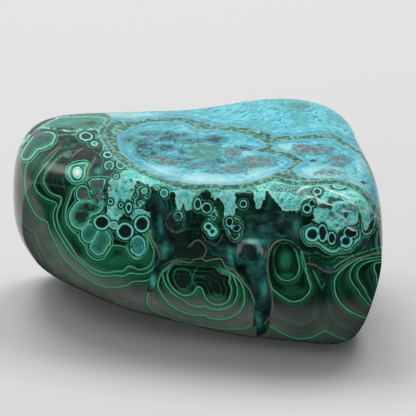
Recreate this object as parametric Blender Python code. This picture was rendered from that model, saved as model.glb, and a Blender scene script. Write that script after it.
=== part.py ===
"""Malachite and chrysocolla freeform: one polished stone, loaf shaped, that rests on a ground flat foot."""

import bmesh
import bpy
import numpy as np

MM = 0.001

# The stone's body.
# Every facet is a plane that the stone was ground to: its outward direction, its distance from CENTRE in mm,
# and how tightly it meets its neighbours, in 1/mm (a small value gives a wide round edge).
CENTRE = (0.93, 0.69, 18.7)
FACETS = {
    "base": ((0, 0, -1), 19.0, 0.60),
    "top": ((-0.02, -0.12, 1), 18.2, 0.55),
    "front": ((-0.20, -1, -0.08), 18.6, 0.45),
    "back": ((-0.05, 1, 0.10), 20.5, 0.30),
    "right": ((1, 0.17, 0.06), 33.5, 0.60),
    "front_right": ((0.75, -0.75, -0.05), 40.0, 0.45),
    "crown_right": ((0.55, -0.50, 0.80), 37.9, 0.35),
    "left": ((-1, 0.1, 0.02), 39.2, 0.30),
    "front_left": ((-0.62, -0.78, -0.05), 26.8, 0.25),
    "upper_left": ((-0.72, -0.10, 0.70), 36.6, 0.30),
    "lower_left": ((-0.50, -0.45, -0.74), 23.2, 0.25),
    "upper_right": ((0.72, 0.45, 0.45), 37.3, 0.45),
    "lower_right": ((1, 0.0, -0.35), 36.0, 0.50),
    "right_foot": ((0.70, -0.15, -0.70), 38.9, 0.55),
    "front_lower": ((-0.22, -0.75, -0.62), 23.2, 0.35),
}
REACH = 80.0  # mm, farther from CENTRE than any point of the stone
HALVINGS = 40  # steps of the search for the surface along one direction

# Soft swells that stand above the facets: centre in mm, height in mm, spread in mm.
SWELLS = {
    "left_dome": ((-27.1, 4.7, 32.7), 1.0, 9.0),
    "saddle": ((-5.0, 13.0, 38.0), -0.7, 9.0),
    "back_right": ((18.9, 14.6, 37.7), 1.9, 10.0),
}

# Long low waves that the polishing left: direction, length in mm, height in mm, phase in radians.
WAVES = (
    ((1.0, 0.35, 0.2), 23.0, 0.16, 0.4),
    ((-0.3, 1.0, 0.5), 17.0, 0.11, 1.9),
    ((0.5, -0.6, 1.0), 13.0, 0.07, 3.1),
)

# Vugs, the natural hollows between the grown nodules. Each is a chain of round lobes (x, y, z, radius in mm) that
# lie on the surface, with the hollow's depth and the width of its wall in mm.
VUGS = {
    "cleft": (1.5, 0.9, ((-7.0, -17.1, 31.1, 1.5), (-6.7, -17.2, 28.1, 2.2), (-6.1, -17.1, 24.5, 1.9))),
    "cleft_floor": (0.8, 0.8, ((-5.7, -16.9, 24.5, 1.8), (-5.8, -16.7, 20.6, 1.7), (-6.6, -16.2, 17.9, 1.0))),
    "cleft_tail": (0.4, 0.5, ((-6.6, -16.2, 17.9, 0.9), (-7.4, -15.5, 14.1, 0.7), (-8.2, -14.7, 11.6, 0.6))),
    "grotto_roof": (2.0, 1.1, ((16.5, -22.1, 29.9, 1.2), (11.3, -21.2, 28.6, 2.1), (9.7, -20.7, 25.0, 2.8))),
    "grotto": (1.8, 1.1, ((10.3, -20.4, 24.0, 3.4), (11.1, -20.2, 19.5, 3.4), (12.5, -20.2, 15.8, 2.1))),
    "grotto_arm": (1.2, 0.9, ((9.3, -20.2, 22.5, 2.0), (5.7, -19.4, 21.8, 1.6), (3.3, -19.1, 22.9, 0.9))),
    "grotto_seam": (0.4, 0.5, ((13.1, -20.4, 15.4, 0.7), (12.3, -19.2, 8.6, 0.6), (12.1, -18.2, 5.2, 0.5))),
    "wedge": (0.7, 0.8, ((23.2, -22.8, 19.5, 0.8), (25.9, -23.1, 19.0, 1.4), (25.4, -22.9, 16.4, 0.6))),
    "right_pit": (0.9, 0.7, ((33.9, -21.4, 25.2, 0.9), (33.5, -21.9, 23.4, 0.9))),
    "dome_pit": (0.8, 0.7, ((-26.1, -0.8, 36.4, 0.9), (-23.7, 0.2, 36.7, 1.0))),
    "dome_gap": (0.5, 0.6, ((-18.8, -9.5, 34.9, 1.0), (-18.6, -12.0, 34.0, 0.9))),
    "rear_cleft": (1.3, 0.9, ((-15.7, 19.6, 24.5, 1.6), (-12.2, 20.3, 21.0, 2.3), (-11.5, 20.6, 16.8, 1.3))),
    "rear_pit": (0.9, 0.8, ((9.8, 21.3, 27.0, 1.2), (12.5, 21.1, 25.4, 1.4))),
    "end_cleft": (1.1, 0.8, ((34.9, 4.5, 27.5, 1.1), (35.1, 5.5, 23.5, 1.6), (34.9, 4.2, 20.5, 0.8))),
    "shelf_pit": (0.7, 0.7, ((-8.2, 14.4, 36.9, 1.1), (-5.7, 15.3, 36.6, 0.9))),
}

# Grown lumps that stand on the vugs' floors: centre (x, y, z), radius and height in mm.
LUMPS = {
    "grotto_boss": ((10.5, -20.4, 21.0), 2.6, 1.4),
    "grotto_knob": ((13.7, -21.2, 26.6), 1.6, 0.9),
    "arm_knob": ((5.5, -19.6, 21.8), 1.4, 0.7),
    "cleft_knob": ((-6.7, -17.2, 27.4), 1.5, 0.8),
    "cleft_bead": ((-5.9, -16.9, 22.3), 1.4, 0.5),
    "rear_knob": ((-12.3, 20.3, 21.2), 1.5, 0.7),
    "end_knob": ((35.1, 5.4, 24.0), 1.1, 0.5),
}

# Mesh.
GRID = 2.7  # mm, the side of one face of the starting grid
HALF_BOX = (36.5, 23.7, 20.0)  # mm, half of the block that the grid is laid on
FINE_MARGINS = (2.7, 1.2)  # mm, how far round a vug the faces are halved, once and then again
FOOT = 0.0  # mm, the height of the ground foot

# Look of the plain solid: dark polished malachite.
STONE_COLOUR = (0.012, 0.075, 0.058, 1.0)
STONE_ROUGHNESS = 0.14


def clear_scene():
    for thing in list(bpy.data.objects):
        bpy.data.objects.remove(thing, do_unlink=True)


def unit(vector):
    vector = np.asarray(vector, dtype=float)
    return vector / np.linalg.norm(vector, axis=-1, keepdims=True)


def over_facets(points):
    """Below zero inside the ground facets, above zero outside."""
    normals = np.array([unit(direction) for direction, _, _ in FACETS.values()])
    distances = np.array([distance for _, distance, _ in FACETS.values()])
    tightness = np.array([value for _, _, value in FACETS.values()])
    above = ((points - np.array(CENTRE)) @ normals.T - distances) * tightness
    highest = above.max(axis=1)
    return highest + np.log(np.exp(above - highest[:, None]).sum(axis=1))


def facet_radius(directions):
    """Distance from CENTRE to the ground body along each direction, found by halving."""
    near = np.zeros(len(directions))
    far = np.full(len(directions), REACH)
    for _ in range(HALVINGS):
        middle = (near + far) / 2
        inside = over_facets(np.array(CENTRE) + directions * middle[:, None]) < 0
        near = np.where(inside, middle, near)
        far = np.where(inside, far, middle)
    return near


def relief(points):
    """Height of the swells and the polishing waves at points of the ground body."""
    height = np.zeros(len(points))
    for centre, rise, spread in SWELLS.values():
        gap = ((points - np.array(centre)) ** 2).sum(axis=1)
        height += rise * np.exp(-gap / (2 * spread**2))
    for direction, length, rise, phase in WAVES:
        along = points @ unit(direction)
        height += rise * np.sin(2 * np.pi * along / length + phase)
    return height


def chain_depth(points, chain):
    """How far each point lies inside a chain of round lobes; below zero outside it."""
    chain = np.array(chain)
    deepest = np.full(len(points), -REACH)
    for start, end in zip(chain[:-1], chain[1:]):
        run = end[:3] - start[:3]
        share = np.clip((points - start[:3]) @ run / (run @ run), 0, 1)
        nearest = start[:3] + run * share[:, None]
        radius = start[3] + (end[3] - start[3]) * share
        deepest = np.maximum(deepest, radius - np.linalg.norm(points - nearest, axis=1))
    return deepest


def ease(value):
    value = np.clip(value, 0, 1)
    return value * value * (3 - 2 * value)


def hollow(points):
    """Depth of the vugs below the polished surface, less the lumps on their floors."""
    depth = np.zeros(len(points))
    for floor, wall, chain in VUGS.values():
        depth = np.maximum(depth, floor * ease(chain_depth(points, chain) / wall))
    for centre, radius, rise in LUMPS.values():
        gap = np.linalg.norm(points - np.array(centre), axis=1) / radius
        depth = np.maximum(depth - rise * np.clip(1 - gap**2, 0, 1), 0)
    return depth


def stone_surface(directions):
    """Points of the finished stone along directions from CENTRE, in mm."""
    radius = facet_radius(directions)
    ground = np.array(CENTRE) + directions * radius[:, None]
    radius += relief(ground)
    polished = np.array(CENTRE) + directions * radius[:, None]
    points = np.array(CENTRE) + directions * (radius - hollow(polished))[:, None]
    points[:, 2] = np.maximum(points[:, 2], FOOT)
    return points, polished


def place_on_stone(vertices):
    """Moves mesh vertices, in metres, along their directions from CENTRE onto the stone."""
    places = np.array([vertex.co[:] for vertex in vertices]) / MM
    points, polished = stone_surface(unit(places - np.array(CENTRE)))
    for vertex, point in zip(vertices, points):
        vertex.co = point * MM
    return polished


def grid_block():
    """A block whose six sides are grids of square faces."""
    mesh = bmesh.new()
    bmesh.ops.create_cube(mesh, size=2.0)
    for axis, half in enumerate(HALF_BOX):
        along = [edge for edge in mesh.edges if abs(edge.verts[0].co[axis] - edge.verts[1].co[axis]) > 1]
        cuts = round(2 * half / GRID) - 1
        bmesh.ops.subdivide_edges(mesh, edges=along, cuts=cuts, use_grid_fill=True)
    centre = np.array(CENTRE)
    for vertex in mesh.verts:
        vertex.co = (np.array(vertex.co) * np.array(HALF_BOX) + centre) * MM
    return mesh


def near_vug(points, margin):
    closest = np.full(len(points), -REACH)
    for _, _, chain in VUGS.values():
        closest = np.maximum(closest, chain_depth(points, chain))
    return closest > -margin


def halve_faces_at_vugs(mesh, polished, margin):
    """Halves the edges round and inside the vugs, so that their rims are drawn by enough faces."""
    marked = near_vug(polished, margin)
    mesh.verts.index_update()
    edges = [edge for edge in mesh.edges if all(marked[vertex.index] for vertex in edge.verts)]
    bmesh.ops.subdivide_edges(mesh, edges=edges, cuts=1, use_grid_fill=True)


def polished_stone_material():
    material = bpy.data.materials.new("polished_malachite")
    material.use_nodes = True
    shader = material.node_tree.nodes["Principled BSDF"]
    shader.inputs["Base Color"].default_value = STONE_COLOUR
    shader.inputs["Roughness"].default_value = STONE_ROUGHNESS
    shader.inputs["Metallic"].default_value = 0.0
    material.diffuse_color = STONE_COLOUR
    return material


def make_stone():
    """The whole freeform: one closed stone with its hollows, lumps and flat foot."""
    mesh = grid_block()
    for margin in FINE_MARGINS:
        polished = place_on_stone(list(mesh.verts))
        halve_faces_at_vugs(mesh, polished, margin)
    place_on_stone(list(mesh.verts))
    bmesh.ops.triangulate(mesh, faces=mesh.faces[:], quad_method="SHORT_EDGE")
    bmesh.ops.recalc_face_normals(mesh, faces=mesh.faces[:])
    data = bpy.data.meshes.new("stone")
    mesh.to_mesh(data)
    mesh.free()
    data.shade_smooth()
    data.materials.append(polished_stone_material())
    stone = bpy.data.objects.new("stone", data)
    bpy.context.collection.objects.link(stone)
    return stone


clear_scene()
make_stone()
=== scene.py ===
"""A polished freeform of malachite and chrysocolla, lying on its ground foot on a pale studio floor."""

import math

import bpy
import numpy as np
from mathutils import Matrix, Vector


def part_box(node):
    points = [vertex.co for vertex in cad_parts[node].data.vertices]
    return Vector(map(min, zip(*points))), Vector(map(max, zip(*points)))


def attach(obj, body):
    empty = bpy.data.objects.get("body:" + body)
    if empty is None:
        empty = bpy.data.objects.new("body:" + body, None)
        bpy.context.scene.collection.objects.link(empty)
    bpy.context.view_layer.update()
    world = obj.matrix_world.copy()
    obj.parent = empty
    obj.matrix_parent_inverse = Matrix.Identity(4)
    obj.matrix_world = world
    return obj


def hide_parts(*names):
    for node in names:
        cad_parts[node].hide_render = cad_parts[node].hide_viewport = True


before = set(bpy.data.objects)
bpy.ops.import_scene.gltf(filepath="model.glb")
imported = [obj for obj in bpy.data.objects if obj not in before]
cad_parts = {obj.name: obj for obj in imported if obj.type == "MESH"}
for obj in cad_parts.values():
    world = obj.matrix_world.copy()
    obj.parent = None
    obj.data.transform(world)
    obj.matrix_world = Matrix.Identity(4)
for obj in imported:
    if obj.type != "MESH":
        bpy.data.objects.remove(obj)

bl_info = {
    "name": "Malachite Chrysocolla Freeform",
    "version": (1, 0, 0),
    "blender": (4, 5, 0),
    "location": "View3D > Sidebar > Stone",
    "description": "Builds a polished malachite and chrysocolla freeform on a pale studio floor",
    "category": "Object",
}

MM = 0.001

# The stone's body.
# Each facet is a plane that the stone was ground to: outward direction, distance from CENTRE in mm, and how tightly
# it meets its neighbours, in 1/mm.
CENTRE = (0.93, 0.69, 18.7)
FACETS = {
    "base": ((0, 0, -1), 19.0, 0.60),
    "top": ((-0.02, -0.12, 1), 18.2, 0.55),
    "front": ((-0.20, -1, -0.08), 18.6, 0.45),
    "back": ((-0.05, 1, 0.10), 20.5, 0.30),
    "right": ((1, 0.17, 0.06), 33.5, 0.60),
    "front_right": ((0.75, -0.75, -0.05), 40.0, 0.45),
    "crown_right": ((0.55, -0.50, 0.80), 37.9, 0.35),
    "left": ((-1, 0.1, 0.02), 39.2, 0.30),
    "front_left": ((-0.62, -0.78, -0.05), 26.8, 0.25),
    "upper_left": ((-0.72, -0.10, 0.70), 36.6, 0.30),
    "lower_left": ((-0.50, -0.45, -0.74), 23.2, 0.25),
    "upper_right": ((0.72, 0.45, 0.45), 37.3, 0.45),
    "lower_right": ((1, 0.0, -0.35), 36.0, 0.50),
    "right_foot": ((0.70, -0.15, -0.70), 38.9, 0.55),
    "front_lower": ((-0.22, -0.75, -0.62), 23.2, 0.35),
}
REACH = 80.0
HALVINGS = 32

# Soft swells above the facets: centre in mm, height in mm, spread in mm.
SWELLS = {
    "left_dome": ((-27.1, 4.7, 32.7), 1.0, 9.0),
    "saddle": ((-5.0, 13.0, 38.0), -0.7, 9.0),
    "back_right": ((18.9, 14.6, 37.7), 1.9, 10.0),
}

# Low waves that the polishing left: direction, length in mm, height in mm, phase in radians.
WAVES = (
    ((1.0, 0.35, 0.2), 23.0, 0.16, 0.4),
    ((-0.3, 1.0, 0.5), 17.0, 0.11, 1.9),
    ((0.5, -0.6, 1.0), 13.0, 0.07, 3.1),
)

# Vugs between the grown nodules: depth and wall width in mm, and a chain of lobes (x, y, z, radius in mm).
VUGS = {
    "cleft": (1.5, 0.9, ((-7.0, -17.1, 31.1, 1.5), (-6.7, -17.2, 28.1, 2.2), (-6.1, -17.1, 24.5, 1.9))),
    "cleft_floor": (0.8, 0.8, ((-5.7, -16.9, 24.5, 1.8), (-5.8, -16.7, 20.6, 1.7), (-6.6, -16.2, 17.9, 1.0))),
    "cleft_tail": (0.4, 0.5, ((-6.6, -16.2, 17.9, 0.9), (-7.4, -15.5, 14.1, 0.7), (-8.2, -14.7, 11.6, 0.6))),
    "grotto_roof": (2.0, 1.1, ((16.5, -22.1, 29.9, 1.2), (11.3, -21.2, 28.6, 2.1), (9.7, -20.7, 25.0, 2.8))),
    "grotto": (1.8, 1.1, ((10.3, -20.4, 24.0, 3.4), (11.1, -20.2, 19.5, 3.4), (12.5, -20.2, 15.8, 2.1))),
    "grotto_arm": (1.2, 0.9, ((9.3, -20.2, 22.5, 2.0), (5.7, -19.4, 21.8, 1.6), (3.3, -19.1, 22.9, 0.9))),
    "grotto_seam": (0.4, 0.5, ((13.1, -20.4, 15.4, 0.7), (12.3, -19.2, 8.6, 0.6), (12.1, -18.2, 5.2, 0.5))),
    "wedge": (0.7, 0.8, ((23.2, -22.8, 19.5, 0.8), (25.9, -23.1, 19.0, 1.4), (25.4, -22.9, 16.4, 0.6))),
    "right_pit": (0.9, 0.7, ((33.9, -21.4, 25.2, 0.9), (33.5, -21.9, 23.4, 0.9))),
    "dome_pit": (0.8, 0.7, ((-26.1, -0.8, 36.4, 0.9), (-23.7, 0.2, 36.7, 1.0))),
    "dome_gap": (0.5, 0.6, ((-18.8, -9.5, 34.9, 1.0), (-18.6, -12.0, 34.0, 0.9))),
    "rear_cleft": (1.3, 0.9, ((-15.7, 19.6, 24.5, 1.6), (-12.2, 20.3, 21.0, 2.3), (-11.5, 20.6, 16.8, 1.3))),
    "rear_pit": (0.9, 0.8, ((9.8, 21.3, 27.0, 1.2), (12.5, 21.1, 25.4, 1.4))),
    "end_cleft": (1.1, 0.8, ((34.9, 4.5, 27.5, 1.1), (35.1, 5.5, 23.5, 1.6), (34.9, 4.2, 20.5, 0.8))),
    "shelf_pit": (0.7, 0.7, ((-8.2, 14.4, 36.9, 1.1), (-5.7, 15.3, 36.6, 0.9))),
}

# Grown lumps on the vugs' floors: centre (x, y, z), radius and height in mm.
LUMPS = {
    "grotto_boss": ((10.5, -20.4, 21.0), 2.6, 1.4),
    "grotto_knob": ((13.7, -21.2, 26.6), 1.6, 0.9),
    "arm_knob": ((5.5, -19.6, 21.8), 1.4, 0.7),
    "cleft_knob": ((-6.7, -17.2, 27.4), 1.5, 0.8),
    "cleft_bead": ((-5.9, -16.9, 22.3), 1.4, 0.5),
    "rear_knob": ((-12.3, 20.3, 21.2), 1.5, 0.7),
    "end_knob": ((35.1, 5.4, 24.0), 1.1, 0.5),
}

# The view that the front's markings are laid out in: the picture is square, PICTURE units a side, with x to the
# right and y down. Loops and lines are rows of x, y, x, y and so on.
PICTURE = 416
UNIT_SIZE = 0.2  # mm that one unit spans at AIM
AIM = (2.93, 0.69, 22.3)  # mm
TILT = 22.0  # degrees that the camera looks down
DISTANCE = 420.0  # mm from the camera to AIM

# Nodules on the front: how far apart the growth lines lie outside the outermost loop and inside the innermost one,
# then each growth line from outside in, as brightness and points.
NODULES = {
    "drum": (16.0, 12.0, (
        (0.75, (25, 184, 27, 197, 33, 210.5, 39, 218, 47, 222, 50, 231, 58, 248, 67, 261.5, 80.5, 274.5, 93, 282,
            103.5, 286.5, 115, 287.5, 126.5, 285.3, 133, 281.5, 148, 280, 154, 272, 159, 262, 160, 250, 155, 240,
            150, 231, 150, 200, 120, 158, 90, 140, 60, 135, 36, 150, 26, 168)),
        (0.9, (49, 161, 40, 172, 35.5, 180, 35, 187, 39, 193.5, 46, 198.5, 57, 203.5, 54, 211, 53.5, 218, 56, 229,
            62, 239.5, 66, 246, 73, 255.5, 84.5, 265.5, 93, 273, 103.5, 276, 115, 275.5, 123.5, 276, 130, 273, 139, 274,
            148, 272.3, 154, 267, 158, 256, 154, 244, 149, 232, 148, 205, 120, 163, 90, 145, 62, 148)),
        (0.9, (49, 168, 44, 177, 44, 183, 48, 190, 53.5, 194.5, 61, 197, 61, 203, 58.5, 208, 57, 218, 61.5, 231.7,
            70, 244.7, 77, 255.5, 86.7, 264, 96, 270, 105, 272.7, 115, 271.5, 123.5, 270.7, 128, 266.5, 133.4, 267,
            139, 269.6, 147, 267.7, 152, 262, 154, 252, 150, 241, 146, 232, 145, 208, 118, 168, 90, 150, 64, 154)),
        (1.0, (79, 184.5, 72.6, 190, 70.4, 196.5, 67, 205, 65.5, 213.5, 66.6, 223, 72.5, 231, 77.5, 234.5, 80, 240,
            85.2, 245.8, 87.6, 253, 94.3, 259, 102.7, 259, 107.8, 252.8, 112, 246, 118, 245.5, 125, 247, 129, 252,
            133, 257.5, 138, 259, 143.4, 254.7, 147.6, 247, 147, 237, 143, 233, 143, 208, 110, 178, 95, 176, 86, 179)),
    )),
    "paw": (15.0, 9.0, (
        (0.8, (147, 301, 150, 307.5, 154.4, 311, 164.7, 315.3, 179.3, 321.2, 201.4, 325.6, 222, 328.5, 236.6, 328.9,
            243.9, 328.5, 249.8, 326.3, 254.2, 321.9, 256.4, 317.5, 256.8, 312.4, 255.3, 305, 252.7, 297.7,
            249.8, 290.4, 245.4, 284.5, 241, 279.3, 238, 275, 232.2, 269, 226, 266, 222.6, 261.7, 219.7, 258.8,
            212.4, 259.5, 203, 260, 190, 259.5, 178, 259, 167, 263.5, 159, 270.5, 153, 281, 149, 292)),
        (1.0, (159.5, 278, 158, 286, 161, 293, 164.7, 298.6, 170.5, 305, 177.9, 309.6, 185.2, 312.8, 192.6, 314.9,
            199.9, 315.4, 205, 315, 208.7, 317.4, 216, 319.1, 223.4, 319.3, 230.7, 317.1, 236.6, 314.2, 241, 309.4,
            243.6, 303.4, 244.4, 297, 243.6, 290, 241, 283, 236, 277, 229, 271.5, 221, 268, 219, 262.5, 211, 262,
            203, 262.8, 190, 262, 178, 262, 169, 266.5, 162, 272)),
        (1.0, (162.6, 273, 163.2, 276.5, 164.7, 281.7, 168.3, 288, 173.5, 293.9, 179.3, 297.7, 183.7, 299.9,
            188.2, 303.6, 194, 306, 199.9, 306.9, 204.3, 305.8, 208.7, 308, 214.6, 309.4, 220.4, 309.4, 226.3, 308.3,
            231.4, 305, 235.1, 300.6, 236.9, 295.5, 237.3, 290.4, 236.6, 285.2, 234.7, 280, 233, 276, 228, 272.5,
            220, 270, 217.5, 264.5, 211, 263.8, 203, 264.5, 190, 263.5, 179, 263, 170, 267)),
        (1.0, (176.5, 264.2, 172.4, 265.6, 168.9, 269.8, 167.6, 275, 168.3, 280, 171.3, 286, 175, 290, 179.3, 293.3,
            184.5, 295.4, 189.6, 294.8, 193.3, 292.6, 195.7, 289.4, 197.5, 287, 200, 287.2, 202.6, 289.6, 203.9, 294,
            206.5, 299.2, 210.9, 302.8, 216, 304.7, 221.2, 304.7, 225.6, 302.8, 228.9, 299.9, 230.3, 295.5, 231.4, 291,
            231.1, 286.7, 229, 282.3, 229.8, 279.3, 229, 275.5, 219, 272, 215, 267, 203, 266.2, 190, 265)),
    )),
    "horn": (14.0, 9.0, (
        (0.8, (266, 322, 281.2, 332.5, 287, 335.2, 295.3, 338.2, 304.4, 338.7, 311.9, 337.4, 318.5, 334.1, 324.8, 330.4,
            330, 322, 328, 305, 320, 285, 312, 268, 304, 248, 290, 237, 275, 237.5, 266, 250, 264, 280, 263, 305)),
        (1.0, (277, 292.7, 282.9, 296.9, 289.5, 300.6, 295.3, 301.4, 302, 299.3, 306.9, 295.2, 310.2, 290.2,
            310.4, 285.2, 308.4, 280.2, 306.9, 274.4, 304.5, 262, 300, 250, 293, 242.8, 285, 239.9, 277, 241, 271, 249,
            268.5, 263, 269.5, 278, 272, 288)),
        (0.8, (274.4, 267.8, 276.2, 273.6, 280.4, 278.3, 287, 280.5, 293.7, 278.4, 297.5, 274.4, 299.2, 269, 298.7, 262,
            296, 252, 291, 245.4, 284.5, 242.8, 278, 245.5, 274.3, 252, 273.4, 260)),
    )),
    "flank": (14.0, 8.0, (
        (0.8, (324.8, 330.4, 331, 333.7, 337.6, 337, 345.9, 339.6, 360, 342, 390, 340, 420, 310, 420, 250, 385, 247,
            360, 254, 340, 263, 328, 276, 322, 292, 321, 310, 322, 322)),
        (1.0, (338.8, 273.2, 335.2, 278.6, 334.3, 286, 335.9, 294.3, 339.3, 301, 344.2, 306.8, 350.9, 311.8, 357.5, 315,
            367.5, 318.4, 385, 322, 410, 300, 410, 262, 385, 253, 364, 257, 348, 265)),
        (0.9, (372, 258, 361, 260.2, 354.6, 264.7, 351, 270.3, 350, 276.9, 352.5, 282.7, 357.5, 289.4, 361.6, 296,
            366.6, 301.8, 371.6, 305.9, 385, 313, 405, 300, 405, 266, 388, 257)),
        (0.9, (372.4, 260.8, 365.5, 262.8, 360.6, 266.2, 357.8, 270.8, 357.5, 276.9, 360.8, 283.6, 365, 289.4,
            367.5, 295.2, 372.4, 301.8, 385, 308, 400, 298, 400, 268, 385, 260)),
        (1.2, (376, 263, 374.2, 266.5, 374.7, 271, 376.4, 275, 377.2, 281.9, 380, 292, 390, 296, 396, 290, 396, 270,
            386, 263)),
    )),
    "crown": (30.0, 60.0, (
        (0.45, (296.1, 251.2, 301, 255.4, 307.8, 257, 316, 256.2, 319.4, 257.9, 322.7, 261.2, 328.5, 262.4,
            334.3, 260.3, 337.6, 257, 345, 256.6, 351.7, 255.4, 360, 252, 366, 244, 368, 232, 366, 215, 350, 200,
            320, 198, 300, 208, 293, 225, 293, 240)),
        (0.45, (298.4, 246.2, 302.8, 251.9, 309.4, 253.9, 316.9, 252.8, 321, 255, 326, 257.5, 331, 256.4, 336, 253.9,
            345, 253.6, 352, 251.6, 358, 246, 364, 240, 364, 225, 350, 205, 320, 203, 303, 212, 297.5, 228)),
    )),
}

# Outlined growth cells on the front: width of the bright rim, filling (0 dark, 0.5 teal, 1 light green), points.
CELLS = (
    (2.6, 0.0, (303.4, 229.7, 302.6, 234.5, 304.7, 240, 309.4, 244, 316.7, 244, 322, 247, 327.6, 251.2, 333, 252.7,
        337.3, 251.8, 340.3, 249.4, 345.8, 250.6, 350.6, 249.4, 354.2, 244.6, 359.7, 239.2, 361.2, 234.5, 359, 229,
        352, 225, 336, 231, 323, 224, 310, 226)),
    (1.2, 0.8, (86, 200, 78.2, 201.4, 73.2, 206.3, 69.4, 213.3, 70.1, 221.8, 74.6, 228, 81, 229.5, 86.6, 226.7, 90, 221,
        91.5, 216.4, 97, 214, 102, 210.5, 103.4, 204.9, 100.4, 201, 96.4, 205, 91.5, 200.5)),
    (1.1, 0.5, (90, 223.5, 83, 228.8, 81, 234.4, 83, 240, 88, 243.2, 92.9, 240.7, 97.1, 233.7, 97.8, 228)),
    (1.1, 0.6, (98, 231, 93, 240, 89.4, 247, 92.9, 252.6, 98.5, 255.4, 104.1, 253.3, 107, 248.4, 110.4, 244.2,
        111.1, 237.2, 107.6, 231.6, 102, 229)),
    (1.3, 0.3, (88.7, 181.4, 94.3, 178.6, 104.1, 178.2, 105.5, 181, 103.4, 188, 98.5, 190.4, 92.2, 188.8, 89.4, 185.3)),
    (1.2, 0.3, (77.6, 199.3, 76, 190.5, 80, 186, 86, 186, 88.6, 190, 88.8, 197, 84, 200)),
    (1.2, 0.2, (139.9, 186.3, 136.4, 190.2, 137.8, 195, 134.3, 200.7, 135.7, 207.7, 142, 207.7, 142, 202, 147, 196.5,
        149, 190.9, 145.5, 186.7)),
    (1.3, 0.1, (225.4, 219, 225.8, 224.8, 228, 229, 228.8, 234, 233.7, 239.7, 238.7, 238, 240.4, 231.4, 241.6, 225.6,
        238.9, 219, 232, 217)),
    (1.5, 0.5, (67.5, 173, 68.5, 168, 72, 164.5, 78, 163, 85, 162, 88.5, 164.5, 86, 169, 85, 175, 83, 179.5, 77, 182,
        71, 180)),
    (1.5, 0.4, (55.6, 135.6, 54.6, 140.5, 51, 144.8, 44, 148.6, 38, 150, 33.4, 155.5, 28.8, 160, 22.7, 160, 20.4, 155.5,
        24.2, 147.8, 30.3, 138.7, 35.7, 134, 45.6, 131, 53.3, 132.5)),
    (1.5, 0.2, (361.5, 220, 361.2, 228, 363, 233.6, 366.6, 235.2, 371.8, 232, 375.5, 222.4, 374, 212, 367, 214)),
)

# Ring eyes on the front: x, y, half width, half height, width of the bright rim, filling (0 dark, 0.5 teal, 1 pale).
EYES = (
    (102, 222.5, 8, 7.3, 1.9, 0), (113.6, 225.3, 4, 4, 1.5, 0.6), (125.2, 231.2, 8.3, 8.5, 2.1, 0),
    (142, 223.9, 7.6, 8, 2.0, 0), (128.7, 207.7, 3, 5.2, 1.4, 0), (110.4, 201.4, 2.8, 3, 1.1, 0.2),
    (137.8, 245.6, 7.7, 10, 1.3, 0.5), (107.6, 154.7, 4.6, 3.2, 1.5, 0), (109, 165.4, 4.7, 4.4, 1.0, 0.3),
    (120.6, 164.7, 4.4, 4.2, 1.0, 0.3), (86, 136.2, 6.6, 4.2, 1.3, 0.1), (94.6, 143.3, 3.8, 2.4, 1.0, 0.5),
    (77.3, 172.6, 4.8, 5.8, 2.2, 0.95), (164.2, 193, 4, 4.2, 1.5, 0.5), (197.7, 204, 3.8, 6, 1.2, 0.1),
    (206.8, 207.8, 4.8, 5.3, 1.2, 0), (208.4, 226.9, 4.5, 4.5, 2.3, 0), (212.2, 231.4, 5, 5, 3.2, 0),
    (243.4, 204, 3.8, 3.8, 1.4, 0), (178.2, 216.5, 4.8, 4.8, 1.4, 0.4), (229.6, 222, 3.6, 4.6, 0.9, 0),
    (236.2, 228.2, 4.8, 3.4, 0.9, 0), (312.4, 234, 7.5, 7.5, 2.8, 0), (322.4, 233, 4.4, 8.6, 1.0, 0),
    (331.8, 238.2, 4, 6.3, 1.0, 0), (346, 241.2, 6.5, 6.5, 3.0, 0), (350.6, 232.7, 7.2, 5.6, 1.0, 0),
    (307.3, 208.5, 4.8, 5, 2.0, 0), (311.8, 203.2, 3.4, 4.2, 0.9, 0), (317.3, 191.5, 4.8, 3.9, 1.3, 0.1),
    (339, 185.8, 6.5, 3.2, 1.2, 0.6), (293.9, 174.2, 8, 4, 1.4, 0.7), (121, 205, 2.2, 2.6, 0.9, 0.2),
    (116, 176, 2.4, 2.2, 0.9, 0.2), (144.5, 191, 3.2, 3.0, 1.2, 0.6),
)

# Blue and turquoise masses that run down from the crown onto the front.
MASSES = (
    (110, 180, 127, 171, 136, 176, 137, 181, 134, 189, 131, 199, 131, 212, 122, 214, 117, 221, 108, 218, 107, 205,
        108, 195),
    (104, 136, 112, 131, 119, 140, 117, 150, 122, 158, 131, 165, 143, 170, 160, 177, 176, 183, 196, 187, 196, 190,
        193, 204, 187, 211, 184, 203, 181, 208, 178, 211, 176, 207, 175, 193, 168, 195, 165, 197, 161, 195, 159, 190,
        148, 184, 136, 180, 124, 172, 113, 168, 106, 156, 103, 146),
    (196, 187, 205.5, 186, 213, 188.5, 221, 189, 232, 188, 236, 203, 235, 212, 230, 219, 225, 215, 223, 204, 219, 198,
        215, 200, 211, 193, 205, 189.5, 198, 195),
    (253, 186, 265, 184, 262, 205, 257, 207, 255, 195),
    (140, 171, 165, 179, 190, 185.5, 225, 187, 262, 183.5, 276, 180, 300, 183, 300, 191, 276, 190, 262, 190.5,
        240, 191.5, 222, 190, 205, 188.5, 190, 191, 170, 191, 150, 183),
    (268, 185, 280, 183, 300, 184, 312, 184, 330, 184.5, 347, 188, 363, 196, 373, 203, 377, 212, 372, 220, 368.5, 227,
        364.5, 228, 361, 216, 358, 209, 357, 222, 350, 226, 343, 229, 337, 232, 332, 232, 327, 231, 323, 225, 314, 222,
        313, 210, 308, 199, 303, 202, 297, 211, 285, 210, 276, 203, 271, 195),
    (131, 212, 140, 208, 149, 212, 148, 217, 132, 218),
    (14, 150, 30, 134, 48, 122, 80, 108, 106, 106, 110, 118, 104, 134, 95, 130, 85, 131, 72, 132, 60, 131, 55, 130,
        45, 128, 36, 131, 27, 140),
)

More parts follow.
